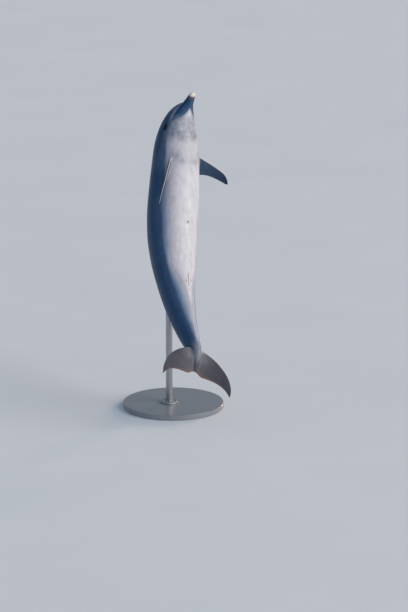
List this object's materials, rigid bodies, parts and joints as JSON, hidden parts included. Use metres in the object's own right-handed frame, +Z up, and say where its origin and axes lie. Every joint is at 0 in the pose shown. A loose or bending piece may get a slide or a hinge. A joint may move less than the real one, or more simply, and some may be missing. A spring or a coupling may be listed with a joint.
{
  "type": "display dolphin model",
  "caption": "Life-size still model of a bottlenose dolphin leaping upright, belly forward, held by a rod on a round display base.",
  "frame": {"origin": "centre of the model's footprint box on the floor", "axes": "+Z up; the belly faces -Y, the back faces +Y, and the animal's left is +X"},
  "size_m": [1.2292, 1.34, 2.7134],
  "materials": {
    "dark_skin": "smooth satin slate blue-grey skin",
    "pale_skin": "smooth satin pale pinkish-grey skin",
    "tail_skin": "smooth satin warm grey skin",
    "eye": "polished dark eye",
    "stand_metal": "brushed steel rod, flange and cup",
    "stand_paint": "satin mid-grey lacquered base"
  },
  "bodies": {
    "root": {"head": "dark_skin", "lower_jaw": "pale_skin", "eye_left": "eye", "eye_right": "eye", "trunk": "pale_skin", "flipper_left": "dark_skin", "flipper_right": "dark_skin", "dorsal_fin": "dark_skin", "tail_stock": "dark_skin", "fluke_left": "tail_skin", "fluke_right": "tail_skin", "stand_base": "stand_paint", "stand_rod": "stand_metal", "stand_flange": "stand_metal", "stand_cup": "stand_metal"}
  },
  "joints": []
}
